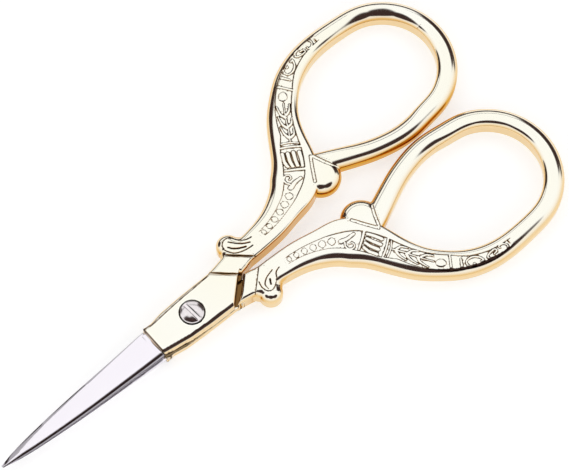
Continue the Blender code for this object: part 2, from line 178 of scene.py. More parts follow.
# Each raised stroke: points along and across the stock, then half its width at both ends
RAISED = [
    ([(17.0, 0.25), (18.3, -0.21), (19.3, -1.14)], 0.5, 0.3),
    ([(17.7, 0.58), (17.8, 1.33), (18.5, 1.86), (19.4, 1.63), (19.6, 1.0), (19.1, 0.62), (18.6, 0.84)],
     0.27, 0.18),
    ([(20.6, 1.7), (20.8, -0.1), (20.9, -2.0)], 0.27, 0.27),
    ([(24.3, 1.73), (22.7, 1.69), (21.5, 1.15)], 0.42, 0.36),
    ([(24.2, 0.73), (22.7, 0.65), (21.5, 0.25)], 0.42, 0.36),
    ([(24.2, -0.31), (22.8, -0.38), (21.6, -0.63)], 0.42, 0.36),
    ([(24.0, -1.39), (22.7, -1.48), (21.5, -1.51)], 0.42, 0.36),
    ([(25.5, 1.65), (25.4, -0.04), (25.0, -1.9)], 0.24, 0.24),
    ([(26.3, 1.34), (26.2, -0.27), (25.7, -1.76)], 0.22, 0.17),
    ([(26.5, -0.35), (28.7, -0.61), (30.8, -0.52), (32.9, -0.32), (34.3, -0.08)], 0.2, 0.15),
    ([(27.2, -0.35), (28.1, 0.28), (29.5, 0.69)], 0.38, 0.14),
    ([(29.2, -0.43), (30.0, 0.25), (31.6, 0.82)], 0.38, 0.14),
    ([(31.4, -0.41), (32.0, 0.37), (33.5, 1.08)], 0.38, 0.14),
    ([(27.2, -0.63), (27.7, -1.38), (29.0, -1.59)], 0.36, 0.14),
    ([(29.4, -0.65), (30.0, -1.38), (31.2, -1.61)], 0.36, 0.14),
    ([(31.9, -0.63), (32.8, -1.16), (34.2, -1.16)], 0.34, 0.14),
    ([(37.4, 1.39), (37.3, 0.06), (37.2, -1.26)], 0.25, 0.25),
    ([(39.2, 1.19), (39.2, 0.36), (39.2, -0.51)], 0.29, 0.22),
    ([(42.7, 0.83), (43.1, 0.68), (42.5, -0.09), (41.3, -0.44), (40.2, 0.02), (40.2, 0.89), (40.7, 1.3)],
     0.24, 0.2),
    ([(45.2, 1.14), (44.5, 1.1), (44.0, 0.48), (44.6, -0.03), (45.7, -0.31), (46.0, 0.1), (45.3, 0.47)],
     0.24, 0.18),
    ([(48.0, 0.76), (48.1, 0.19), (47.6, -0.35), (46.7, -0.37), (46.8, 0.08)], 0.2, 0.15),
]
STROKE_RISE = 0.14
# Beads of the row beside the curl: along, across, radius
BEADS = [
    (5.8, 0.0, 0.36),
    (7.0, -0.12, 0.46),
    (8.5, -0.15, 0.55),
    (10.1, -0.17, 0.6),
    (11.8, -0.2, 0.66),
    (13.5, -0.25, 0.72),
    (15.3, -0.2, 0.76),
]
BEAD_RISE = 0.2
CRESCENT_HALF = 0.24
CRESCENT_DEPTH = 0.3
# Round and oval studs: along, across, reach along, reach across
STUDS = [(35.6, 0.13, 0.98, 0.8), (41.4, 0.95, 0.32, 0.32)]
# Stepped cuts across the neck, on the upper face and on the under face: how far behind the lap line,
# width, depth
NECK_CUTS = [[(0.22, 0.58, 0.2), (3.77, 0.5, 0.2)], [(3.18, 0.5, 0.08)]]
# Cut lines in plan, on the upper face and on the under face: points, half width, depth
CURL_LOOP = [
    (4.23, -17.3), (4.44, -16.3), (5.06, -15.4), (5.98, -14.8), (6.72, -14.2), (6.93, -13.2), (6.4, -12.35),
    (5.5, -12.1), (4.7, -12.35), (3.84, -12.95), (3.29, -13.9), (2.92, -15.2), (2.8, -16.5),
]
UNDER_CURL_LOOP = [
    (3.44, -17.3), (3.82, -16.3), (4.81, -15.6), (5.74, -14.4), (5.97, -13.5), (5.5, -12.75), (4.4, -12.5),
    (3.3, -12.75),
]
BOSS_RIM = [(3.15, 7.6), (2.8, 6.91), (2.92, 4.99), (3.1, 2.5), (3.24, 0.11), (3.42, -4.66), (3.52, -6.61)]
CUT_LINES = [
    [
        (BOSS_RIM, 0.11, 0.08),
        (CURL_LOOP, 0.13, 0.12),
        ([(5.36, -12.9), (4.62, -13.4), (3.95, -14.3), (3.41, -15.4)], 0.18, 0.2),
        ([(6.12, -13.6), (5.01, -14.5), (4.2, -15.4), (3.6, -16.5)], 0.15, 0.16),
    ],
    [
        (UNDER_CURL_LOOP, 0.12, 0.1),
        ([(3.06, -16.0), (3.5, -14.4), (4.29, -13.3), (5.4, -13.2)], 0.12, 0.1),
        ([(4.14, -14.6), (4.99, -14.1)], 0.18, 0.18),
    ],
]
# Channels that set the spur off from the shank and the inner arm, in plan
SPUR_CHANNELS = [[(9.3, -35.75), (7.2, -34.4), (5.0, -33.1)], [(9.0, -36.1), (6.7, -37.0), (4.75, -38.0)]]
SPUR_CHANNEL_HALF = 0.33
SPUR_CHANNEL_DEPTH = 0.11

GRID = 0.11  # of the skins that are drawn round a handle
MOST_FACES = 196000  # of a handle
HANDLE_BOX = ((-4.0, -72.2, -0.4), (29.4, 9.2, STACK + 0.4))
LARGE_FACE = 1.5  # grid steps from a face's middle to its corner
FLAT_ENOUGH = 0.9985  # least Z of a flat's outward direction

# Painted shade that darkens and deepens the gilding
RECESS_RING = 0.17  # how far round a point its own depth is compared
RECESS_LEVELS = (0.008, 0.026)  # deeper than the ring by so much: none, all
FACE_BAND = (1.5, 1.65)  # from the middle plane: below the faces, at them
LAP_SHADE = 0.6
NECK_END_SHADE = 0.7
NEAR_REACHES = ((0.6, 0.2), (2.5, 0.35), (7.0, 0.45))  # how far off other metal is looked for, its share
NEAR_LEVELS = (0.12, 0.42)


def arc(centre, radius, start, end, steps):
    """Points on a circle from the start angle to the end angle, in degrees."""
    turn = np.radians(np.linspace(start, end, steps + 1))
    return [(centre[0] + radius * math.cos(a), centre[1] + radius * math.sin(a)) for a in turn]


def smooth(stations, steps):
    """Catmull-Rom curve through the stations, with this many steps between neighbours."""
    ends = np.array([stations[0], *stations, stations[-1]], float)
    t = np.arange(steps)[:, None] / steps
    runs = []
    for a, b, c, d in zip(ends, ends[1:], ends[2:], ends[3:]):
        square, cube = 2 * a - 5 * b + 4 * c - d, 3 * b - a - 3 * c + d
        runs.append(0.5 * (2 * b + (c - a) * t + square * t**2 + cube * t**3))
    return np.vstack([*runs, ends[-1:]])


def step_up(value, low, high):
    """0 below low, 1 above high, and a smooth rise between."""
    t = np.clip((value - low) / (high - low), 0, 1)
    return t * t * (3 - 2 * t)


def within(value, low, high):
    """Whether each value lies between low and high."""
    return (value > low) & (value < high)


def join(a, b, fillet):
    """Union of two solids with a fillet where they meet."""
    h = np.maximum(fillet - np.abs(a - b), 0) / fillet
    return np.minimum(a, b) - h * h * fillet / 4


def rounded(edge, face, reach, drop, start=SIDE_START, sunk=0.0):
    """Depth field of a rounded edge, which may start sunk below the face.

    Edge and face are the distances inside the side and inside the face.
    """
    turn = math.radians(start)
    half_across, half_down = reach / (1 - math.sin(turn)), drop / math.cos(turn)
    across = (half_across - edge) * half_down / half_across
    down = drop + sunk - face
    curve = np.hypot(np.maximum(across, 0), np.maximum(down, 0)) - half_down
    curve = curve + np.minimum(np.maximum(across, down), 0)
    return np.maximum(np.where(edge < reach, np.maximum(curve, -edge), -face), -face)


class Run:
    """A run of the stock, which finds how far along and across it a point of the plan lies."""

    CHUNK = 30000  # points that are placed at a time
    COARSE = 4  # samples of the line between those tried first
    TIGHTEST = 0.2  # least length that a bend leaves of a step along its inner side

    def __init__(self, rows):
        self.rows = rows
        self.point = rows[:, :2]
        along = np.gradient(self.point, axis=0)
        self.along = along / np.linalg.norm(along, axis=1)[:, None]
        bend = np.gradient(self.along, axis=0) / SAMPLE
        self.left = np.stack([-self.along[:, 1], self.along[:, 0]], 1)
        self.bend = (bend * self.left).sum(1)

    def place(self, x, y):
        """Along, across, half width, inner rounding, and how far beyond the run's ends."""
        nearest = np.empty(len(x), int)
        coarse = self.point[:: self.COARSE]
        for i in range(0, len(x), self.CHUNK):
            part = slice(i, i + self.CHUNK)
            gap = (x[part, None] - coarse[:, 0]) ** 2 + (y[part, None] - coarse[:, 1]) ** 2
            nearest[part] = gap.argmin(1) * self.COARSE
        last = len(self.rows) - 1
        for _ in range(3):
            shift, _, _ = self.offset(nearest, x, y)
            nearest = np.clip(np.rint(nearest + shift / SAMPLE).astype(int), 0, last)
        shift, forward, side = self.offset(nearest, x, y)
        at = np.clip(nearest + shift / SAMPLE, 0, last)
        low = np.minimum(at.astype(int), last - 1)
        part = at - low
        row = self.rows[low] * (1 - part[:, None]) + self.rows[low + 1] * part[:, None]
        across = side - 0.5 * self.bend[nearest] * shift**2
        before, after = np.where(nearest == 0, -forward, -9.0), np.where(nearest == last, forward, -9.0)
        return at * SAMPLE, across, row[:, 2], row[:, 3], np.maximum(before, after)

    def offset(self, nearest, x, y):
        """How far to move along the line from its nearest samples, and the way forward and to the side."""
        dx, dy = x - self.point[nearest, 0], y - self.point[nearest, 1]
        forward = dx * self.along[nearest, 0] + dy * self.along[nearest, 1]
        side = dx * self.left[nearest, 0] + dy * self.left[nearest, 1]
        return forward / np.maximum(1 - self.bend[nearest] * side, self.TIGHTEST), forward, side


def faired(rows):
    """The same line without small kinks. A second pass gives back what the first takes off a bend."""
    reach = 4 * FAIR
    weight = np.exp(-0.5 * (np.arange(-reach, reach + 1) / FAIR) ** 2)
    weight /= weight.sum()

    def blurred(column):
        before = 2 * column[0] - column[reach:0:-1]
        after = 2 * column[-1] - column[-2 : -reach - 2 : -1]
        return np.convolve(np.concatenate([before, column, after]), weight, "valid")

    once = np.stack([blurred(column) for column in rows.T], 1)
    left = rows - once
    return once + np.stack([blurred(column) for column in left.T], 1)


def from_bow_centre(stations):
    """Stations that are given in bow radii, in the plan's own places."""
    x0, y0 = BOW_CENTRE
    return [(x0 + BOW_RADIUS * x, y0 + BOW_RADIUS * y, half, inner) for x, y, half, inner in stations]


def stock_runs():
    """The shank with the outer arm, and the inner arm, which overlap at the far end of the bow."""
    far_end = [(x, y, BOW_HALF_WIDTH, 1.0) for x, y in arc(BOW_CENTRE, BOW_RADIUS, 0, -180, 12)]
    fine = smooth(SHANK + from_bow_centre(OUTER_ARM) + far_end + from_bow_centre(INNER_ARM), 40)
    length = np.concatenate([[0], np.cumsum(np.hypot(*np.diff(fine[:, :2], axis=0).T))])
    even = np.linspace(0, length[-1], round(length[-1] / SAMPLE) + 1)
    rows = faired(np.stack([np.interp(even, length, column) for column in fine.T], 1))
    lowest = int(rows[:, 1].argmin())
    return Run(rows[: lowest + OVERLAP]), Run(rows[lowest - OVERLAP :])


def outline_depth(outline, x, y):
    """Signed distance to a closed outline, negative inside."""
    points = np.array(outline, float)
    best = np.full(len(x), 1e9)
    inside = np.zeros(len(x), bool)
    for (ax, ay), (bx, by) in zip(points, np.roll(points, -1, axis=0)):
        ex, ey = bx - ax, by - ay
        t = np.clip(((x - ax) * ex + (y - ay) * ey) / max(ex * ex + ey * ey, 1e-12), 0, 1)
        best = np.minimum(best, (x - ax - t * ex) ** 2 + (y - ay - t * ey) ** 2)
        crosses = (ay > y) != (by > y)
        if ey:
            inside ^= crosses & (x < ax + (y - ay) * ex / ey)
    return np.where(inside, -1, 1) * np.sqrt(best)


def line_gap(points, x, y):
    """Distance to an open line, and how far along it the nearest point lies, from 0 to 1."""
    points = np.array(points, float)
    best, share = np.full(len(x), 1e9), np.zeros(len(x))
    count = len(points) - 1
    for i, ((ax, ay), (bx, by)) in enumerate(zip(points, points[1:])):
        ex, ey = bx - ax, by - ay
        t = np.clip(((x - ax) * ex + (y - ay) * ey) / (ex * ex + ey * ey), 0, 1)
        gap = np.hypot(x - ax - t * ex, y - ay - t * ey)
        nearer = gap < best
        best = np.where(nearer, gap, best)
        share = np.where(nearer, (i + t) / count, share)
    return best, share


def lap_line(side_x, clearance=0.0):
    """Y of the slanting line where a boss ends at the other half's neck."""
    return LAP_TIP_Y + math.tan(LAP_SLOPE) * abs(side_x) + clearance / math.cos(LAP_SLOPE)


def behind_lap(x, y):
    """Distance behind the lap line, towards the handle."""
    return x * math.sin(LAP_SLOPE) - (y - LAP_TIP_Y) * math.cos(LAP_SLOPE)


def boss_sides(tip_y):
    """The boss's spine side with the lap end, and its edge side."""
    corner = (BOSS_SPINE_SIDE[-1][0], lap_line(BOSS_SPINE_SIDE[-1][0], LAP_CLEARANCE))
    spine_side = [(BOSS_SPINE_SIDE[0][0], tip_y), *BOSS_SPINE_SIDE[:-1], corner]
    lap_end = [corner, (0.0, lap_line(0.0, LAP_CLEARANCE))]
    edge_x = BOSS_EDGE_SIDE[-1][0]
    edge_side = [(edge_x, lap_line(edge_x)), *BOSS_EDGE_SIDE[::-1], (BOSS_EDGE_TIP_X, tip_y)]
    return spine_side, lap_end, edge_side


def pocket_outline(tip_y):
    """The boss without its lap end."""
    spine_side, lap_end, edge_side = boss_sides(tip_y)
    short = [(x, y + POCKET_END) for x, y in (spine_side[-1], lap_end[1], edge_side[0])]
    return [*spine_side[:-1], *short, *edge_side[1:]]


def boss_plate_outline():
    """The boss, run on into the neck so that the two join."""
    spine_side, lap_end, edge_side = boss_sides(SHOULDER_Y)
    point = lap_end[1]
    in_neck = [(x, lap_line(x) - past) for x, past in BOSS_IN_NECK]
    return [*spine_side, point, (NECK_GAP, point[1]), *in_neck, BOSS_ROOT, *edge_side]


def neck_sides():
    """The neck's inner side with its end at the lap, and its outer side with the boss's edge side."""
    end = [(x, lap_line(x) - gap / math.cos(LAP_SLOPE)) for x, gap in NECK_END]
    outer = [tuple(p) for p in smooth(NECK_OUTER, 6)]
    return [*NECK_INNER[::-1], *end], outer


def neck_outline():
    """The neck in plan."""
    inner, outer = neck_sides()
    return [*inner, *outer]


def curl_outline():
    """The curl's lobe in plan, with the hollow before it."""
    across = CURL_SIDE_X + CURL_FILLET - CURL_CENTRE[0]
    drop = math.sqrt((CURL_RADIUS + CURL_FILLET) ** 2 - across**2)
    meet = math.degrees(math.atan2(-drop, across))
    hollow_centre = (CURL_SIDE_X + CURL_FILLET, CURL_CENTRE[1] - drop)
    hollow = arc(hollow_centre, CURL_FILLET, 180, 180 + meet, 16)
    lobe = arc(CURL_CENTRE, CURL_RADIUS, meet, 100, 48)[1:]
    return [*hollow, *lobe, CURL_ROOT]


def spur_outline():
    """The spur's round end in plan."""
    return arc(SPUR_CENTRE, SPUR_RADIUS, *SPUR_TURN, 44)


OUTER_RUN, INNER_RUN = stock_runs()


def relief(along, across):
    """How far the ornament's face lies below the plain face."""
    stations = np.array(PANEL_SIDES)
    outer = np.interp(along, stations[:, 0], stations[:, 1])
    inner = np.interp(along, stations[:, 0], stations[:, 2])
    sunk = step_up(outer - across, 0, PANEL_SLOPE) * step_up(across - inner, 0, PANEL_SLOPE)
    sunk *= step_up(along, stations[0, 0], stations[0, 0] + PANEL_START)
    sunk *= 1 - step_up(along, stations[-1, 0], stations[-1, 0] + PANEL_FADE)
    raised = np.zeros(len(along))
    for points, start, end in RAISED:
        line = smooth(points, 5)
        low, high = line.min(0) - 1, line.max(0) + 1
        near = np.nonzero((along > low[0]) & (along < high[0]) & (across > low[1]) & (across < high[1]))[0]
        if len(near):
            gap, share = line_gap(line, along[near], across[near])
            shape = 1 - np.clip(gap / (start + (end - start) * share), 0, 1) ** 3
            raised[near] = np.maximum(raised[near], STROKE_RISE * shape)
    for centre_along, centre_across, radius in BEADS:
        gap = np.hypot(along - centre_along, across - centre_across) / radius
        raised = np.maximum(raised, BEAD_RISE * np.sqrt(np.clip(1 - gap**2, 0, 1)))
        # A punched crescent sets the bead off on the curl's side
        ring = (gap - 1.0) * radius / CRESCENT_HALF
        turned = (centre_along - along + 0.3 * (centre_across - across)) / radius
        punched = CRESCENT_DEPTH * (1 - ring**2) * step_up(turned, -0.1, 0.5)
        raised = np.where(np.abs(ring) < 1, raised - punched, raised)
    for centre_along, centre_across, reach_along, reach_across in STUDS:
        gap = np.hypot((along - centre_along) / reach_along, (across - centre_across) / reach_across)
        raised = np.maximum(raised, STROKE_RISE * (1 - np.clip(gap, 0, 1) ** 4))
    depth = PANEL_DEPTH * sunk * (0.5 + 0.5 * step_up(along, *PANEL_SHALLOW))
    return depth - np.minimum(raised, depth)


def cut(gap, half, depth):
    """A rounded groove."""
    return depth * np.clip(1 - (gap / half) ** 2, 0, 1)


def channel(gap, half, depth):
    """A flat groove with steep sides."""
    return depth * (1 - step_up(gap, half - 0.07, half + 0.05))


def stepped(ahead, width, depth):
    """A cut that is steep where it starts and runs out over its width."""
    out = np.clip(1 - 0.7 * ahead / width, 0, 1)
    return depth * step_up(ahead, -0.05, 0.07) * out * (1 - step_up(ahead, width - 0.05, width + 0.05))


def cut_depths(x, y, along, across):
    """How far each point of the upper face and of the under face lies below the plain face."""
    ornament = relief(along, across)
    for points in SPUR_CHANNELS:
        gap, _ = line_gap(smooth(points, 8), x, y)
        ornament = np.maximum(ornament, channel(gap, SPUR_CHANNEL_HALF, SPUR_CHANNEL_DEPTH))
    depths = []
    for neck_cuts, lines in zip(NECK_CUTS, CUT_LINES):
        depth = ornament
        for distance, width, deep in neck_cuts:
            step = stepped(distance - behind_lap(x, y), width, deep)
            depth = np.maximum(depth, np.where(within(x, -0.2, 6) & (y > -16), step, 0))
        for points, half, deep in lines:
            gap, _ = line_gap(smooth(points, 6), x, y)
            depth = np.maximum(depth, cut(gap, half, deep))
        depths.append(depth)
    return depths


def side_of(closed, visible, x, y):
    """Distance inside the visible part of an outline, share of the way along it, and depth in the whole."""
    whole = outline_depth(closed, x, y)
    gap, share = line_gap(visible, x, y)
    return np.where(whole > 0, -gap, gap), share, whole


def handle_plan(x, y):
    """What the handle's depth at any height needs to know of each point of its plan."""
    plan = {"outer": OUTER_RUN.place(x, y), "inner": INNER_RUN.place(x, y)}
    along = plan["outer"][0]
    start, full, still_full, end = WIDE_ROUND_RUN
    plan["wide"] = step_up(along, start, full) * (1 - step_up(along, still_full, end))
    plan["grown"] = 0.5 + 0.5 * step_up(along, *SIDE_GROWS)
    spine_side, lap_end, edge_side = boss_sides(SHOULDER_Y + PAST_SHOULDER)
    neck_inner, neck_outer = neck_sides()
    boss = boss_plate_outline()
    plan["spine"], _, plan["boss"] = side_of(boss, spine_side, x, y)
    plan["lap"], _, _ = side_of(boss, lap_end, x, y)
    outer_side = [*neck_outer[::-1], *edge_side]
    gap, _ = line_gap(outer_side, x, y)
    plan["edge"] = np.where(plan["boss"] > 0, -gap, gap)
    plan["pocket"] = outline_depth(pocket_outline(SHOULDER_Y + PAST_SHOULDER), x, y) + POCKET_WALL
    plan["neck_inner"], _, plan["neck"] = side_of(neck_outline(), neck_inner, x, y)
    plan["neck_outer"] = np.where(plan["neck"] > 0, -gap, gap)
    plan["crotch"] = outline_depth(CROTCH_SHELF, x, y)
    curl = curl_outline()
    hidden = [(CURL_HIDDEN_X, CURL_ROOT[1] - 2.0), (CURL_HIDDEN_X, curl[0][1])]
    plan["curl_edge"], plan["curl_share"], plan["curl"] = side_of([*curl, *hidden], curl, x, y)
    spur = spur_outline()
    plan["spur_edge"], _, plan["spur"] = side_of([SPUR_POINT, *spur], spur, x, y)
    plan["pivot"] = np.hypot(x, y)
    plan["ahead"] = y - SHOULDER_Y
    plan["upper"], plan["under"] = cut_depths(x, y, plan["outer"][0], plan["outer"][1])
    return plan


def stock_solid(place, height, grown=1.0, wide=0.0):
    """Depth field of one run. Its outer rounding may be part grown, and its inner one widened."""
    _, across, half, inner_round, beyond = place
    face = STOCK_RISE - height
    outer_reach = np.minimum(SIDE_REACH * grown, half - OUTER_FLAT)
    outer_drop = np.minimum(SIDE_DROP * grown, outer_reach)
    outer = rounded(half - across, face, outer_reach, outer_drop)
    inner_round = np.minimum(inner_round, half - INNER_FLAT)
    inner_drop = np.minimum(inner_round, INNER_DROP_MOST)
    inner_reach = inner_round + (WIDE_ROUND_REACH - inner_round) * wide
    inner_drop = inner_drop + (WIDE_ROUND_DROP - inner_drop) * wide
    inner = rounded(half + across, face, inner_reach, inner_drop)
    return np.maximum(np.maximum(outer, inner), beyond)


def spine_facets(edge, face):
    """Depth field of the facets along the spine side, and how far their foot lies below the face."""
    reach = SPINE_ROUND + sum(width for width, _ in SPINE_FACETS)
    facets, sunk = -face, 0.0
    for width, tilt in SPINE_FACETS:
        facet = (reach - edge) * math.sin(tilt) - (face - sunk) * math.cos(tilt)
        facets = np.maximum(facets, facet)
        reach, sunk = reach - width, sunk + width * math.tan(tilt)
    return facets, sunk


def boss_solid(plan, z):
    """Depth field of the half-lap boss."""
    face = STACK - z
    facets, sunk = spine_facets(plan["spine"], face)
    spine = rounded(plan["spine"], face, SPINE_ROUND, SPINE_ROUND, SPINE_START, sunk)
    spine = np.maximum(spine, facets)
    edge = rounded(plan["edge"], face, BOSS_ROUND, BOSS_ROUND)
    lap = rounded(plan["lap"], face, *LAP_ROUND)
    sides = np.maximum(spine, np.maximum(edge, lap))
    shoulder = (plan["ahead"] + SHOULDER_CHAMFER - face) * SLANT
    return np.maximum(np.maximum(np.maximum(sides, shoulder), plan["boss"]), LAP_FACE - z)


def handle_solid(plan, z):
    """Depth field of one handle, negative inside."""
    height = np.abs(z - MIDDLE)
    stock = stock_solid(plan["outer"], height, plan["grown"], np.where(z > MIDDLE, plan["wide"], 0.0))
    stock = np.minimum(stock, stock_solid(plan["inner"], height))
    share = step_up(plan["curl_share"], *CURL_ROUND_RUN)
    reach = SIDE_REACH + (CURL_ROUND - SIDE_REACH) * share
    drop = SIDE_DROP + (CURL_ROUND - SIDE_DROP) * share
    curl = np.maximum(rounded(plan["curl_edge"], CURL_RISE - height, reach, drop), plan["curl"])
    spur = np.maximum(rounded(plan["spur_edge"], SPUR_RISE - height, SPUR_ROUND, SPUR_ROUND), plan["spur"])
    face = MIDDLE - height
    neck = np.maximum(rounded(plan["neck_inner"], face, NECK_ROUND, NECK_ROUND), plan["neck"])
    neck = np.maximum(neck, rounded(plan["neck_outer"], face, BOSS_ROUND, BOSS_ROUND))
    solid = join(join(stock, curl, CURL_FUSE), neck, NECK_FUSE)
    solid = join(solid, spur, SPUR_FUSE)
    solid = np.minimum(solid, boss_solid(plan, z))
    crotch = np.maximum(plan["crotch"], np.maximum(LAP_FACE - z, z - CROTCH_SHELF_TOP))
    solid = np.minimum(solid, crotch)
    sunk = np.where(z > MIDDLE, plan["upper"], plan["under"])
    solid = np.maximum(solid, height + sunk - MIDDLE)
    pocket = np.maximum(plan["pocket"], z - (STACK - SKIN))
    solid = np.maximum(solid, -pocket)
    solid = np.maximum(solid, BORE_RADIUS - plan["pivot"])
    spot = np.maximum(plan["pivot"] - SPOT_RADIUS, SPOT_Z - z)
    return np.maximum(solid, -spot)


def grid_skin(plan_of, solid_of, low, high, step, times):
    """Points and four-sided faces of a solid's surface, one point in each grid cell that it crosses.

    The points are then moved onto the surface this many times.
    """
    axes = [np.arange(a, b + step, step) for a, b in zip(low, high)]
    shape = tuple(len(a) for a in axes)
    x, y = (g.ravel() for g in np.meshgrid(axes[0], axes[1], indexing="ij"))
    plan = plan_of(x, y)
    values = np.empty(shape, np.float32)
    for k, z in enumerate(axes[2]):
        values[:, :, k] = solid_of(plan, z).reshape(shape[:2])
    inside = values < 0
    corners = [(i, j, k) for i in (0, 1) for j in (0, 1) for k in (0, 1)]

    def at(array, corner):
        i, j, k = corner
        return array[i : shape[0] - 1 + i, j : shape[1] - 1 + j, k : shape[2] - 1 + k]

    count = sum(at(inside, c).astype(np.int8) for c in corners)
    cells = np.argwhere((count > 0) & (count < 8))
    total, hits = np.zeros((len(cells), 3)), np.zeros(len(cells))
    for a in corners:
        for axis in range(3):
            if a[axis]:
                continue
            b = list(a)
            b[axis] = 1
            va = values[tuple((cells + a).T)]
            vb = values[tuple((cells + b).T)]
            crossed = (va < 0) != (vb < 0)
            share = np.where(crossed, va / np.where(crossed, va - vb, 1), 0)
            point = np.array(a, float) + share[:, None] * (np.array(b) - np.array(a))
            total[crossed] += point[crossed]
            hits += crossed
    points = np.array(low) + (cells + total / hits[:, None]) * step
    number = np.full([n - 1 for n in shape], -1, np.int32)
    number[tuple(cells.T)] = np.arange(len(cells))
    faces = []
    for axis in range(3):
        first = [slice(None)] * 3
        second = [slice(None)] * 3
        first[axis], second[axis] = slice(None, -1), slice(1, None)
        changed = np.argwhere(inside[tuple(first)] != inside[tuple(second)])
        u, v = [a for a in range(3) if a != axis]
        if axis == 1:
            u, v = v, u
        du, dv = np.eye(3, dtype=int)[u], np.eye(3, dtype=int)[v]
        quad = [number[tuple((changed - back).T)] for back in (du + dv, dv, 0 * du, du)]
        quad = np.stack(quad, 1)
        out = inside[tuple(changed.T)]
        faces.append(np.where(out[:, None], quad, quad[:, ::-1]))
    for _ in range(times):
        points = settle(plan_of, solid_of, points, step / 2)
    return points, np.vstack(faces)


def slope_of(plan_of, solid_of, points, reach=0.01):
    """The solid's depth at each point, and its gradient."""
    x, y, z = points.T
    plan = plan_of(x, y)
    here = solid_of(plan, z)
    gradient = np.stack([
        solid_of(plan_of(x + reach, y), z) - solid_of(plan_of(x - reach, y), z),
        solid_of(plan_of(x, y + reach), z) - solid_of(plan_of(x, y - reach), z),
        solid_of(plan, z + reach) - solid_of(plan, z - reach),
    ], 1) / (2 * reach)
    return here, gradient


def settle(plan_of, solid_of, points, most):
    """Moves points onto the solid's surface."""
    here, gradient = slope_of(plan_of, solid_of, points)
    size = np.maximum((gradient**2).sum(1), 0.05)
    move = -here[:, None] * gradient / size[:, None]
    length = np.linalg.norm(move, axis=1)
    return points + move * np.minimum(1, most / np.maximum(length, 1e-9))[:, None]


def mesh_from(name, points, faces):
    """Mesh in metres from points in millimetres."""
    mesh = bpy.data.meshes.new(name)
    mesh.vertices.add(len(points))
    mesh.vertices.foreach_set("co", (points * MM).astype(np.float32).ravel())
    mesh.loops.add(faces.size)
    mesh.loops.foreach_set("vertex_index", faces.astype(np.int32).ravel())
    mesh.polygons.add(len(faces))
    starts = np.arange(0, faces.size, faces.shape[1], dtype=np.int32)
    mesh.polygons.foreach_set("loop_start", starts)
    mesh.update(calc_edges=True)
    mesh.validate()
    return mesh


def add_layer(mesh, name, domain, values):
    """A layer of numbers that the material reads by its name."""
    layer = mesh.attributes.new(name, "FLOAT", domain)
    layer.data.foreach_set("value", values.ravel().astype(np.float32))


def show(name, mesh):
    """An object in the scene with this mesh."""
    obj = bpy.data.objects.new(name, mesh)
    bpy.context.scene.collection.objects.link(obj)
    return obj


def finished(obj):
    """The mesh that an object's modifiers leave."""
    return bpy.data.meshes.new_from_object(obj.evaluated_get(bpy.context.evaluated_depsgraph_get()))


def thinned(mesh, most):
    """The same mesh with fewer faces where it is flat."""
    mesh.calc_loop_triangles()
    count = len(mesh.loop_triangles)
    if count <= most:
        return mesh
    helper = show(mesh.name + "_fine", mesh)
    modifier = helper.modifiers.new("thin", "DECIMATE")
    modifier.ratio = most / count
    modifier.use_collapse_triangulate = True
    thin = finished(helper)
    bpy.data.objects.remove(helper)
    return thin


def painted_recess_shade(plan, points):
    """How much painted shade each point gets, from 0 on a plain face to 1 at the foot of a steep edge in
    the cut work. The shoulder, the gaps at the lap and in the crotch, and the ring under the screw's head
    are painted as shade too.
    """
    x, y, z = points.T
    here = np.where(z > MIDDLE, plan["upper"], plan["under"])
    around = np.zeros(len(x))
    for turn in np.radians(np.arange(0, 360, 60)):
        px, py = x + RECESS_RING * math.cos(turn), y + RECESS_RING * math.sin(turn)
        place = OUTER_RUN.place(px, py)
        upper, under = cut_depths(px, py, place[0], place[1])
        around += np.where(z > MIDDLE, upper, under) / 6
    # Painted shade at the foot of steep edges in the cut work
    deep = step_up(here - around, *RECESS_LEVELS) * step_up(np.abs(z - MIDDLE), *FACE_BAND)
    # Painted shade in the gaps where the two halves meet: at the shoulder, the neck's end, the lap and the
    # crotch
    behind, other = behind_lap(x, y), behind_lap(-x, y)
    shoulder = (y > SHOULDER_Y - SHOULDER_CHAMFER - 0.01) & (STACK - z < 0.66) & (x > -2.35)
    shut = np.where(shoulder, step_up(STACK - z, 0.0, 0.15), 0)
    neck_end = within(x, 0, 3.2) & within(behind, -0.5, 0.75) & (z < LAP_FACE + 0.2)
    shut = np.maximum(shut, np.where(neck_end, NECK_END_SHADE * step_up(z, 0.3, 0.8), 0))
    lap_end = within(x, -3.5, 0) & (np.abs(other + LAP_CLEARANCE) < 0.2)
    shut = np.maximum(shut, np.where(lap_end, step_up(STACK - z, 0.7, 1.3), 0))
    under_lap = within(x, -0.8, 3.2) & within(behind, -2.0, 0.75) & (z < LAP_FACE + 0.02)
    crotch = (plan["crotch"] < 0.05) & (z < CROTCH_SHELF_TOP + 0.1)
    shut = np.where(under_lap | crotch, LAP_SHADE, shut)
    # Painted shade in the ring under the screw's head
    under_head = within(plan["pivot"], HEAD_RADIUS - 0.3, SPOT_RADIUS + 0.03) & (z > SPOT_Z - 0.25)
    return np.maximum(deep, np.maximum(shut, under_head))


def painted_gap_shade(points, normals):
    """Painted shade from how closely other metal faces each point, from 0 in the open to 1 in a tight gap.
    """
    shut = np.zeros(len(points))
    for reach, share in NEAR_REACHES:
        x, y, z = (points + normals * reach).T
        own = handle_solid(handle_plan(x, y), z)
        other = handle_solid(handle_plan(-x, y), STACK - z)
        shut += share * np.clip(1 - np.minimum(own, other) / reach, 0, 1)
    return step_up(shut, *NEAR_LEVELS)


def corners_of(mesh):
    """Points of a mesh of triangles in millimetres, and the three of each face."""
    points = np.empty(len(mesh.vertices) * 3, np.float32)
    mesh.vertices.foreach_get("co", points)
    faces = np.empty(len(mesh.loops), np.int32)
    mesh.loops.foreach_get("vertex_index", faces)
    return points.reshape(-1, 3).astype(float) / MM, faces.reshape(-1, 3)


def outward(points):
    """The handle's outward direction at each point."""
    _, gradient = slope_of(handle_plan, handle_solid, points)
    return gradient / np.maximum(np.linalg.norm(gradient, axis=1), 1e-6)[:, None]


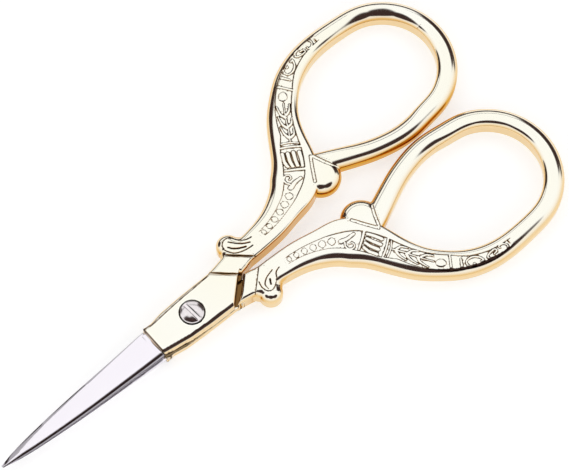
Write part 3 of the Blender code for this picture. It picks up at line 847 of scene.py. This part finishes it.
def painted_shade_layers(points, normals):
    """The two layers of painted shade that the gilding is coloured by."""
    plan = handle_plan(points[:, 0], points[:, 1])
    return {"painted_recess_shade": painted_recess_shade(plan, points), "painted_gap_shade": painted_gap_shade(points, normals)}


def cast_handle():
    """Mesh of one handle, and the outward direction at each corner of each face."""
    points, faces = grid_skin(handle_plan, handle_solid, *HANDLE_BOX, GRID, 2)
    triangles = np.vstack([faces[:, :3], faces[:, [0, 2, 3]]])
    mesh = thinned(mesh_from("handle_skin", points, triangles), MOST_FACES)
    points, faces = corners_of(mesh)
    normals = outward(points)
    # A large flat face takes the values of its middle, and not those of the edges that its corners are on
    middles = points[faces].mean(axis=1)
    reach = np.linalg.norm(points[faces] - middles[:, None], axis=2).max(axis=1)
    large = np.nonzero(reach > LARGE_FACE * GRID)[0]
    flat_normals = outward(middles[large])
    flat = np.abs(flat_normals[:, 2]) > FLAT_ENOUGH
    large, flat_normals = large[flat], flat_normals[flat]
    flat_layers = painted_shade_layers(middles[large], flat_normals)
    for name, values in painted_shade_layers(points, normals).items():
        at_corners = values[faces]
        at_corners[large] = flat_layers[name][:, None]
        add_layer(mesh, name, "CORNER", at_corners)
    at_corners = normals[faces]
    at_corners[large] = flat_normals[:, None]
    at_corners = at_corners.reshape(-1, 3)
    mesh.shade_smooth()
    mesh.normals_split_custom_set(at_corners.astype(np.float32))
    return mesh, at_corners


def turned_over(mesh):
    """A copy of a front mesh, turned over for the back half."""
    other = mesh.copy()
    other.transform(Matrix.Translation((0, 0, STACK * MM)) @ Matrix.Rotation(math.pi, 4, "Y"))
    return other


def turned_handle(mesh, normals):
    """The back handle, with its corners' outward directions turned over too."""
    other = turned_over(mesh)
    other.normals_split_custom_set((normals * np.array((-1.0, 1.0, -1.0))).astype(np.float32))
    return other


# Blades: share of the way from heel to tip, then edge and spine from the middle line
BLADE_LENGTH = 43.1
BLADE_PROFILE = [
    (0.0, 3.35, 2.72),
    (0.2, 2.9, 2.5),
    (0.5, 2.3, 2.06),
    (0.76, 1.55, 1.4),
    (0.92, 0.82, 0.77),
    (1.0, 0.125, 0.325),
]
SPINE_THICKNESS = 1.35
TIP_THICKNESS = 0.32
# Honed bevel: share of the way to the tip, width, upper line's height as a share of the spine's thickness
BEVEL = [
    (0.0, 0.3, 0.5),
    (0.2, 0.36, 0.5),
    (0.45, 0.55, 0.55),
    (0.7, 0.75, 0.65),
    (0.85, 0.9, 0.8),
    (1.0, 0.95, 0.8),
]
HONED_EDGE = 0.06
# The boss's facets run on along the spine: their size at the heel, what they lose by the tip, and the
# least width of the blade for each part of their full size
FACET_SIZE = 0.95
FACET_LOSS = 0.3
FACET_ROOM = 2.8
SPINE_SIDES = (45, 62, 80)  # degrees, where the spine's rounding has its edges
EDGE_BREAK = 0.04
TANG_INSET = 0.8
TANG_LENGTH = 1.5  # past the heel, for its fit in the blade
TANG_PLAY = 0.05


def loft(name, rings):
    """Mesh through rings of points, with flat ends."""
    bm = bmesh.new()
    rows = [[bm.verts.new(Vector(point) * MM) for point in ring] for ring in rings]
    for low, high in zip(rows, rows[1:]):
        for i in range(len(low)):
            j = (i + 1) % len(low)
            bm.faces.new((low[i], low[j], high[j], high[i]))
    bm.faces.new(rows[0][::-1])
    bm.faces.new(rows[-1])
    bmesh.ops.recalc_face_normals(bm, faces=bm.faces)
    mesh = bpy.data.meshes.new(name)
    bm.to_mesh(mesh)
    bm.free()
    return mesh


def blade_rings():
    """Sections of a blade from heel to tip."""
    way, bevel_widths, bevel_heights = zip(*BEVEL)
    facet_reach = SPINE_ROUND + sum(facet for facet, _ in SPINE_FACETS)
    start = math.radians(SPINE_START)
    rings = []
    for share, edge_x, spine_x in smooth(BLADE_PROFILE, 14):
        y = HEEL_Y + (BLADE_LENGTH - HEEL_Y) * share
        spine = SPINE_THICKNESS + (TIP_THICKNESS - SPINE_THICKNESS) * share
        width = edge_x + spine_x
        bevel = min(np.interp(share, way, bevel_widths), width / 2)
        upper_line = (edge_x - bevel, np.interp(share, way, bevel_heights) * spine)
        section = [(-spine_x, 0.0), (edge_x, 0.0), (edge_x, HONED_EDGE), upper_line]
        size = min(FACET_SIZE - FACET_LOSS * share, width / FACET_ROOM)
        x, z = facet_reach * size - spine_x, spine
        section.append((x, z))
        for facet, tilt in SPINE_FACETS:
            x, z = x - facet * size, z - facet * size * math.tan(tilt)
            section.append((x, z))
        for side in np.radians(SPINE_SIDES):
            inward = SPINE_ROUND * size * (1 - math.sin(side)) / (1 - math.sin(start))
            down = SPINE_ROUND * size * (math.cos(start) - math.cos(side))
            section.append((inward - spine_x, z - down))
        rings.append([(x, y, LAP_FACE + z) for x, z in section])
    return rings


def tang_rings():
    """Lower and upper outline of the tang, which is the pocket's outline drawn in."""
    outline = []
    points = pocket_outline(HEEL_Y + TANG_LENGTH)
    for before, here, after in zip(points[-1:] + points[:-1], points, points[1:] + points[:1]):
        come = Vector((here[0] - before[0], here[1] - before[1])).normalized()
        go = Vector((after[0] - here[0], after[1] - here[1])).normalized()
        inward = Vector((-come.y - go.y, come.x + go.x)) / (1 + come.dot(go))
        outline.append((here[0] + inward.x * TANG_INSET, here[1] + inward.y * TANG_INSET))
    return [[(x, y, z) for x, y in outline] for z in (LAP_FACE, STACK - SKIN - TANG_PLAY)]


def ground_blade():
    """Mesh of a blade with its tang, bored for the screw."""
    blade = show("blade_shape", loft("blade_shape", blade_rings()))
    blade.data.shade_smooth()
    tang = show("blade_tang", loft("blade_tang", tang_rings()))
    circle = arc((0, 0), BORE_RADIUS, 0, 360, 64)[:-1]
    hole = show("blade_hole", loft("blade_hole", [[(x, y, z) for x, y in circle] for z in (0, 5)]))
    for helper, operation in ((tang, "UNION"), (hole, "DIFFERENCE")):
        modifier = blade.modifiers.new(helper.name, "BOOLEAN")
        modifier.operation, modifier.solver, modifier.object = operation, "EXACT", helper
    bevel = blade.modifiers.new("edges", "BEVEL")
    bevel.width, bevel.segments, bevel.limit_method = EDGE_BREAK * MM, 2, "ANGLE"
    bevel.angle_limit = math.radians(35)
    blade.modifiers.new("even", "WEIGHTED_NORMAL").keep_sharp = True
    mesh = finished(blade)
    for helper in (blade, tang, hole):
        bpy.data.objects.remove(helper)
    return mesh


# Pivot screw
HEAD_RADIUS = 2.18
HEAD_FOOT_Z = 3.86
HEAD_RIM_Z = 4.2
HEAD_DOME = 0.56
HEAD_EDGE = 0.18
SHANK_RADIUS = 1.35
SLOT_HALF = 0.36
SLOT_FLOOR_Z = 4.25
SLOT_CHAMFER = 0.1
SLOT_TURN = math.radians(4)
SCREW_GRID = 0.05
SCREW_BOX = ((-2.6, -2.6, -0.2), (2.6, 2.6, 5.2))


def screw_plan(x, y):
    """How far each point lies from the axis and from the slot's middle line."""
    across = -x * math.sin(SLOT_TURN) + y * math.cos(SLOT_TURN)
    return {"pivot": np.hypot(x, y), "slot": np.abs(across)}


def screw_solid(plan, z):
    """Domed head with a slot, on a plain shank that is flush with the back boss."""
    r = plan["pivot"]
    ball = (HEAD_RADIUS**2 + HEAD_DOME**2) / (2 * HEAD_DOME)
    dome = np.hypot(r, z - (HEAD_RIM_Z + HEAD_DOME - ball)) - ball
    head = np.maximum(-join(-dome, HEAD_RADIUS - r, HEAD_EDGE), HEAD_FOOT_Z - z)
    shank = np.maximum(np.maximum(r - SHANK_RADIUS, -z), z - HEAD_RIM_Z)
    slot = np.maximum(plan["slot"] - SLOT_HALF, SLOT_FLOOR_Z - z)
    chamfer = np.maximum((plan["slot"] - SLOT_HALF - SLOT_CHAMFER - dome) * SLANT, SLOT_FLOOR_Z - z)
    return np.maximum(np.maximum(np.minimum(head, shank), -slot), -chamfer)


def turned_screw():
    """Mesh of the screw, with painted shade in the foot of its slot and under its head."""
    points, faces = grid_skin(screw_plan, screw_solid, *SCREW_BOX, SCREW_GRID, 2)
    mesh = mesh_from("screw", points, faces)
    x, y, z = points.T
    plan = screw_plan(x, y)
    # Painted shade at the foot of the slot's walls and under the head
    wall = 1 - step_up(np.abs(plan["slot"] - SLOT_HALF), 0.05, 0.14)
    # The dome falls by about a tenth of the square of the way out
    deep = step_up(HEAD_RIM_Z + HEAD_DOME - 0.1 * plan["pivot"] ** 2 - z, 0.12, 0.3)
    below = step_up(HEAD_RIM_Z - z, -0.05, 0.15)
    add_layer(mesh, "painted_recess_shade", "POINT", np.maximum(wall * deep, below))
    mesh.shade_smooth()
    mesh.set_sharp_from_angle(angle=math.radians(32))
    return mesh


# Finishes


def linear(hex_colour):
    """Linear colour from an sRGB hex value."""
    parts = [int(hex_colour[i : i + 2], 16) / 255 for i in (1, 3, 5)]
    return tuple(c / 12.92 if c <= 0.04045 else ((c + 0.055) / 1.055) ** 2.4 for c in parts) + (1.0,)


def add(tree, kind, settings=None, links=None):
    """Adds a node, sets its properties and sockets, links its inputs, and gives its outputs."""
    node = tree.nodes.new("ShaderNode" + kind)
    for name, value in (settings or {}).items():
        if isinstance(name, int) or name in node.inputs:
            node.inputs[name].default_value = value
        else:
            setattr(node, name, value)
    for name, source in (links or {}).items():
        tree.links.new(source, node.inputs[name])
    return node.outputs


def new_material(name, metallic):
    """A material, its node tree and its shader."""
    material = bpy.data.materials.new(name)
    material.use_nodes = True
    tree = material.node_tree
    shader = tree.nodes["Principled BSDF"]
    shader.inputs["Metallic"].default_value = metallic
    return material, tree, shader


COLOURS = {"data_type": "RGBA"}
SOFT = {"interpolation_type": "SMOOTHSTEP"}


def gilt_brass():
    """Cast brass, barrelled and then gold plated.

    A bright mirror, paler on the buffed flats as a painted highlight, with painted shade in the relief and
    the gaps, in amber and brown.
    """
    material, tree, shader = new_material("gilt_plated_brass", 1.0)
    place = add(tree, "TexCoord")
    normal = add(tree, "SeparateXYZ", links={0: place["Normal"]})
    up = add(tree, "Math", {"operation": "ABSOLUTE"}, {0: normal["Z"]})
    # Painted highlight: faces turned up or down are painted pale, and the steep sides keep the gold
    flat = add(tree, "MapRange", SOFT | {"From Min": 0.62, "From Max": 0.975}, {"Value": up[0]})
    # The plating's colour drifts over about 20 mm
    drift = add(tree, "TexNoise", {"Scale": 1 / (20 * MM), "Detail": 1.0}, {"Vector": place["Object"]})
    flats = COLOURS | {6: linear("#FFFFFC"), 7: linear("#FDF9E4")}
    painted_highlight = add(tree, "Mix", flats, {0: drift["Fac"]})
    # Painted shade: where other metal is near, the gold is painted deeper
    shut = add(tree, "Attribute", {"attribute_name": "painted_gap_shade"})
    sides = COLOURS | {6: linear("#EFD3A2"), 7: linear("#DDA43A")}
    side = add(tree, "Mix", sides, {0: shut["Fac"]})
    gold = add(tree, "Mix", COLOURS, {0: flat[0], 6: side[2], 7: painted_highlight[2]})
    # Painted shade: the relief and the gaps turn amber first, and dark brown at their foot
    deep = add(tree, "Attribute", {"attribute_name": "painted_recess_shade"})
    edge = add(tree, "MapRange", {"From Max": 0.5}, {"Value": deep["Fac"]})
    foot = add(tree, "MapRange", {"From Min": 0.4}, {"Value": deep["Fac"]})
    amber = add(tree, "Mix", COLOURS | {7: linear("#8F6A3C")}, {0: edge[0], 6: gold[2]})
    brown = add(tree, "Mix", COLOURS | {7: linear("#21140C")}, {0: foot[0], 6: amber[2]})
    tree.links.new(brown[2], shader.inputs["Base Color"])
    # Buffing leaves faint wear about 4 mm across
    wear = add(tree, "TexNoise", {"Scale": 1 / (4 * MM), "Detail": 3.0}, {"Vector": place["Object"]})
    rough = add(tree, "MapRange", {"To Min": 0.06, "To Max": 0.13}, {"Value": wear["Fac"]})
    tree.links.new(rough[0], shader.inputs["Roughness"])
    return material


def ground_steel():
    """Stainless steel ground lengthwise on a fine wheel: bright, with a soft streaked reflection."""
    material, tree, shader = new_material("ground_stainless_steel", 1.0)
    place = add(tree, "TexCoord")
    # 240 grit leaves lines 0.03 mm wide, drawn 0.12 mm wide so that they show
    line_scale = (1 / (0.12 * MM), 1 / (6 * MM), 1 / (0.12 * MM))
    stretch = add(tree, "Mapping", {"Scale": line_scale}, {"Vector": place["Object"]})
    lines = add(tree, "TexNoise", {"Scale": 1.0, "Detail": 2.0}, {"Vector": stretch[0]})
    flats = COLOURS | {6: linear("#F6F1F9"), 7: linear("#FDF9FF")}
    ground = add(tree, "Mix", flats, {0: lines["Fac"]})
    grain = add(tree, "MapRange", {"To Min": 0.1, "To Max": 0.22}, {"Value": lines["Fac"]})
    # The narrow edges are polished after the grinding. By how far a face turns from flat, the flats are
    # painted near white as a highlight and the edges a darker grey as shade.
    normal = add(tree, "SeparateXYZ", links={0: place["Normal"]})
    up = add(tree, "Math", {"operation": "ABSOLUTE"}, {0: normal["Z"]})
    flat = add(tree, "MapRange", {"From Min": 0.93, "From Max": 0.965}, {"Value": up[0]})
    rough = add(tree, "Mix", {"data_type": "FLOAT", 2: 0.12}, {0: flat[0], 3: grain[0]})
    colour = add(tree, "Mix", COLOURS | {6: linear("#A9A5AB")}, {0: flat[0], 7: ground[2]})
    tree.links.new(colour[2], shader.inputs["Base Color"])
    tree.links.new(rough[0], shader.inputs["Roughness"])
    bump = add(tree, "Bump", {"Strength": 0.15, "Distance": 0.01 * MM}, {"Height": lines["Fac"]})
    tree.links.new(bump[0], shader.inputs["Normal"])
    return material


def nickel_plate():
    """Turned steel with bright nickel plating: a mirror with a warm grey cast and fine turning marks."""
    material, tree, shader = new_material("nickel_plated_steel", 1.0)
    place = add(tree, "TexCoord")
    # The marks vary over about 0.5 mm
    marks = add(tree, "TexNoise", {"Scale": 1 / (0.5 * MM), "Detail": 3.0}, {"Vector": place["Object"]})
    nickels = COLOURS | {6: linear("#E2DADC"), 7: linear("#FAF5F6")}
    bright = add(tree, "Mix", nickels, {0: marks["Fac"]})
    # Painted shade in the slot and under the head
    deep = add(tree, "Attribute", {"attribute_name": "painted_recess_shade"})
    shaded_nickel = add(tree, "Mix", COLOURS | {7: linear("#241E20")}, {0: deep["Fac"], 6: bright[2]})
    tree.links.new(shaded_nickel[2], shader.inputs["Base Color"])
    rough = add(tree, "MapRange", {"To Min": 0.08, "To Max": 0.22}, {"Value": marks["Fac"]})
    tree.links.new(rough[0], shader.inputs["Roughness"])
    return material


# Camera: at the photograph's angle, tilted from the vertical towards the bottom of the picture
TILT = math.radians(23)
EYE = Vector((-158.36, 114.56, 497.57)) * MM
TARGET = Vector((1.82, -23.11, 0.0)) * MM
PICTURE_RIGHT = Vector((-0.6518, -0.7584, 0.0))
PICTURE_UP = Vector((0.7584, -0.6518, 0.0))
FOCAL_LENGTH = 3000 / 569  # in picture widths


def place_camera():
    """The photograph's camera."""
    camera = bpy.data.cameras.new("camera")
    camera.sensor_width = 36
    camera.lens = FOCAL_LENGTH * camera.sensor_width
    camera.clip_start, camera.clip_end = 0.01, 10
    obj = bpy.data.objects.new("camera", camera)
    bpy.context.scene.collection.objects.link(obj)
    back = (EYE - TARGET).normalized()
    up = PICTURE_UP * math.cos(TILT) + Vector((0, 0, math.sin(TILT)))
    right = up.cross(back).normalized()
    up = back.cross(right)
    obj.matrix_world = Matrix.Translation(EYE) @ Matrix((right, up, back)).transposed().to_4x4()
    bpy.context.scene.camera = obj


# Dark gaps between the soft lights: towards picture right, towards picture up, upwards, then how wide,
# in degrees
DARK_GAPS = [
    (0.0, -0.391, 0.9205, 18.0),
    (0.44, -0.3, 0.847, 16.0),
    (-0.42, -0.3, 0.855, 15.0),
    (-0.84, 0.39, 0.375, 16.0),
    (0.66, 0.6, 0.45, 11.0),
    (0.48, 0.77, 0.42, 12.0),
]
GAP_FADE = 2.5  # degrees
# Dark bands low behind the object, towards picture up: lowest and highest elevation in degrees, how bright
DARK_BANDS = [(2.0, 19.0, 0.02), (34.0, 39.0, 0.3)]
BAND_FADE = 1.5  # degrees
WHITE = linear("#FFFFFF")


def faded(low, high, start, end):
    """Settings for a soft change from start to end while a value rises from low to high."""
    return SOFT | {"From Min": low, "From Max": high, "To Min": start, "To Max": end}


def light_room():
    """A white room with soft dark gaps, and white behind everything for the camera."""
    world = bpy.data.worlds.new("studio")
    bpy.context.scene.world = world
    world.use_nodes = True
    tree = world.node_tree
    way = add(tree, "TexCoord")["Generated"]
    up = Vector((0, 0, 1))
    ways = [PICTURE_RIGHT * right + PICTURE_UP * far + up * high for right, far, high, _ in DARK_GAPS]
    towards = []
    for direction in [*ways, up, PICTURE_UP]:
        dot = {"operation": "DOT_PRODUCT", 1: direction.normalized()}
        towards.append(add(tree, "VectorMath", dot, {0: way})["Value"])
    *gaps, height, behind = towards
    levels = []
    for gap, (*_, width) in zip(gaps, DARK_GAPS):
        low, high = (math.cos(math.radians(width + fade)) for fade in (GAP_FADE, -GAP_FADE))
        levels.append(add(tree, "MapRange", faded(low, high, 1.0, 0.0), {"Value": gap}))
    far_side = add(tree, "MapRange", faded(0.3, 0.5, 0.0, 1.0), {"Value": behind})
    for *ends, level in DARK_BANDS:
        inside = far_side
        for end, before, after in zip(ends, (0.0, 1.0), (1.0, 0.0)):
            low, high = (math.sin(math.radians(end + fade)) for fade in (-BAND_FADE, BAND_FADE))
            limit = add(tree, "MapRange", faded(low, high, before, after), {"Value": height})
            inside = add(tree, "Math", {"operation": "MULTIPLY"}, {0: inside[0], 1: limit[0]})
        levels.append(add(tree, "MapRange", faded(0.0, 1.0, 1.0, level), {"Value": inside[0]}))
    light = levels[0]
    for level in levels[1:]:
        light = add(tree, "Math", {"operation": "MULTIPLY"}, {0: light[0], 1: level[0]})
    # The gaps are a dark warm brown, and the camera sees white behind everything
    room = add(tree, "Mix", COLOURS | {6: linear("#3A2A28"), 7: WHITE}, {0: light[0]})
    rays = add(tree, "LightPath")
    seen = add(tree, "Mix", COLOURS | {7: WHITE}, {0: rays["Is Camera Ray"], 6: room[2]})
    background = tree.nodes["Background"]
    tree.links.new(seen[2], background.inputs["Color"])
    background.inputs["Strength"].default_value = 1.0


FLOOR_HALF = 3000.0
FLOOR_DROP = 0.05  # below the part, so that the two don't touch


def lay_floor():
    """White card that glows enough for the camera and in reflections to be white, and keeps the shadow."""
    corners = FLOOR_HALF * np.array([(-1, -1, 0), (1, -1, 0), (1, 1, 0), (-1, 1, 0)])
    mesh = mesh_from("floor", corners, np.array([(0, 1, 2, 3)]))
    floor = show("floor", mesh)
    floor.location = (0, 0, -FLOOR_DROP * MM)
    material, tree, shader = new_material("white_card", 0.0)
    shader.inputs["Base Color"].default_value = linear("#D2D2D2")
    shader.inputs["Roughness"].default_value = 0.9
    shader.inputs["Specular IOR Level"].default_value = 0.0
    rays = add(tree, "LightPath")
    both = {0: rays["Is Camera Ray"], 1: rays["Is Glossy Ray"]}
    seen = add(tree, "Math", {"operation": "MAXIMUM"}, both)
    glow = add(tree, "Math", {"operation": "MULTIPLY", 1: 0.6}, {0: seen[0]})
    tree.links.new(glow[0], shader.inputs["Emission Strength"])
    shader.inputs["Emission Color"].default_value = WHITE
    mesh.materials.append(material)


def dress(name, mesh, material, body, node):
    """A piece in its material, riding on its body in place of its CAD node."""
    mesh.materials.clear()
    mesh.materials.append(material)
    obj = show(name, mesh)
    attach(obj, body)
    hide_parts(node)


def main():
    gilt, steel, nickel = gilt_brass(), ground_steel(), nickel_plate()
    handle, normals = cast_handle()
    back_handle = turned_handle(handle, normals)
    dress("front_casting", handle, gilt, "front_half", "front_handle")
    dress("back_casting", back_handle, gilt, "back_half", "back_handle")
    blade = ground_blade()
    back_blade = turned_over(blade)
    dress("front_ground_blade", blade, steel, "front_half", "front_blade")
    dress("back_ground_blade", back_blade, steel, "back_half", "back_blade")
    dress("slotted_screw", turned_screw(), nickel, "back_half", "pivot_screw")
    place_camera()
    light_room()
    lay_floor()
    bpy.context.scene.view_settings.view_transform = "Standard"


main()
